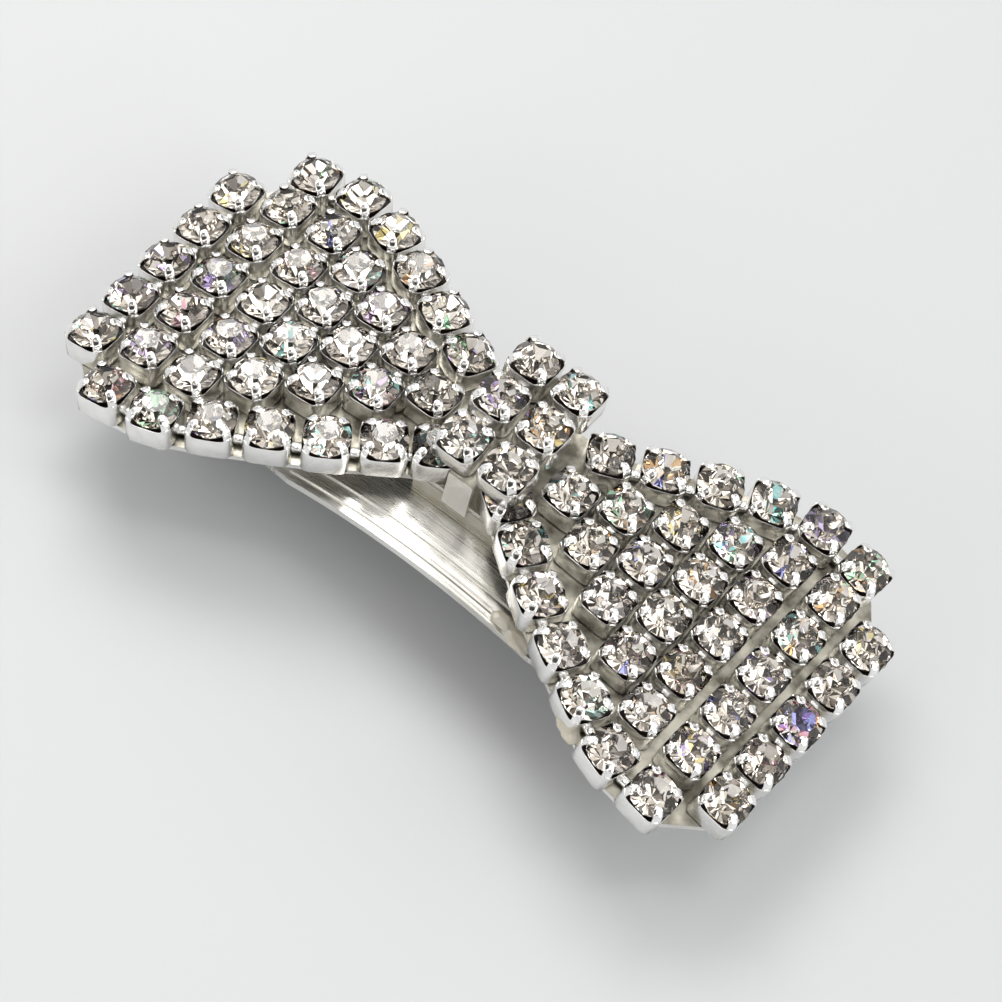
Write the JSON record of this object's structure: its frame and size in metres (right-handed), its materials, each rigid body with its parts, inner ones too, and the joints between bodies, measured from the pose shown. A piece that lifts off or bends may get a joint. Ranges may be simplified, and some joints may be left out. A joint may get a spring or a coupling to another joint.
{
  "type": "rhinestone hair barrette",
  "caption": "Bow-shaped hair barrette paved with rhinestones in prong cups, on an arched spring clip with a hinged lock arm and a squeeze clasp.",
  "frame": {"origin": "centre of the bounding box in X and Y, at the level of the clip's feet", "axes": "+X along the bow towards the clasp end, +Y towards the bow's upper edge, +Z out of the rhinestone face"},
  "size_m": [0.0828, 0.0394, 0.0226],
  "materials": {
    "plated_cups": "bright silver plate",
    "crystal": "clear faceted, foil backed",
    "back_sheet": "silver plated sheet",
    "plated_steel": "polished plated steel",
    "spring_steel": "plain spring steel",
    "glue": "clear cream glue"
  },
  "bodies": {
    "bow_and_base": {"base_plate": "plated_steel", "clasp_bracket": "plated_steel", "clasp_pin_back": "plated_steel", "clasp_pin_front": "plated_steel", "clasp_rivet_inner": "plated_steel", "clasp_rivet_outer": "plated_steel", "hinge_pin": "plated_steel", "knot_band": "back_sheet", "knot_chain_left": "plated_cups", "knot_chain_right": "plated_cups", "knot_stones_left": "crystal", "knot_stones_right": "crystal", "left_chain_a": "plated_cups", "left_chain_b": "plated_cups", "left_chain_c": "plated_cups", "left_chain_d": "plated_cups", "left_chain_e": "plated_cups", "left_chain_f": "plated_cups", "left_chain_g": "plated_cups", "left_chain_h": "plated_cups", "left_glue_pad": "glue", "left_spring_keeper": "plated_steel", "left_stones_a": "crystal", "left_stones_b": "crystal", "left_stones_c": "crystal", "left_stones_d": "crystal", "left_stones_e": "crystal", "left_stones_f": "crystal", "left_stones_g": "crystal", "left_stones_h": "crystal", "left_wing_plate": "back_sheet", "right_chain_a": "plated_cups", "right_chain_b": "plated_cups", "right_chain_c": "plated_cups", "right_chain_d": "plated_cups", "right_chain_e": "plated_cups", "right_chain_f": "plated_cups", "right_chain_g": "plated_cups", "right_chain_h": "plated_cups", "right_glue_pad": "glue", "right_spring_keeper": "plated_steel", "right_stones_a": "crystal", "right_stones_b": "crystal", "right_stones_c": "crystal", "right_stones_d": "crystal", "right_stones_e": "crystal", "right_stones_f": "crystal", "right_stones_g": "crystal", "right_stones_h": "crystal", "right_wing_plate": "back_sheet", "saddle_pad": "glue", "tension_bow": "spring_steel"},
    "lock_arm": {"lock_arm": "plated_steel", "arm_end_pad": "plated_steel"},
    "clasp_ear_front": {"clasp_ear_front": "plated_steel"},
    "clasp_ear_back": {"clasp_ear_back": "plated_steel"}
  },
  "joints": [
    {"name": "lock_arm_hinge", "type": "hinge", "parent": "bow_and_base", "child": "lock_arm", "pos_m": [-0.0294, -0.00321, 0.002], "axis": [0, 1, 0], "range_deg": [0, 75]},
    {"name": "clasp_front_squeeze", "type": "hinge", "parent": "bow_and_base", "child": "clasp_ear_front", "pos_m": [0.0295, -0.00966, 0.00405], "axis": [-1, 0, 0], "range_deg": [0, 8], "stiffness_Nm_per_rad": 0.005},
    {"name": "clasp_back_squeeze", "type": "hinge", "parent": "bow_and_base", "child": "clasp_ear_back", "pos_m": [0.0295, 0.00324, 0.00405], "axis": [1, 0, 0], "range_deg": [0, 8], "stiffness_Nm_per_rad": 0.005}
  ]
}
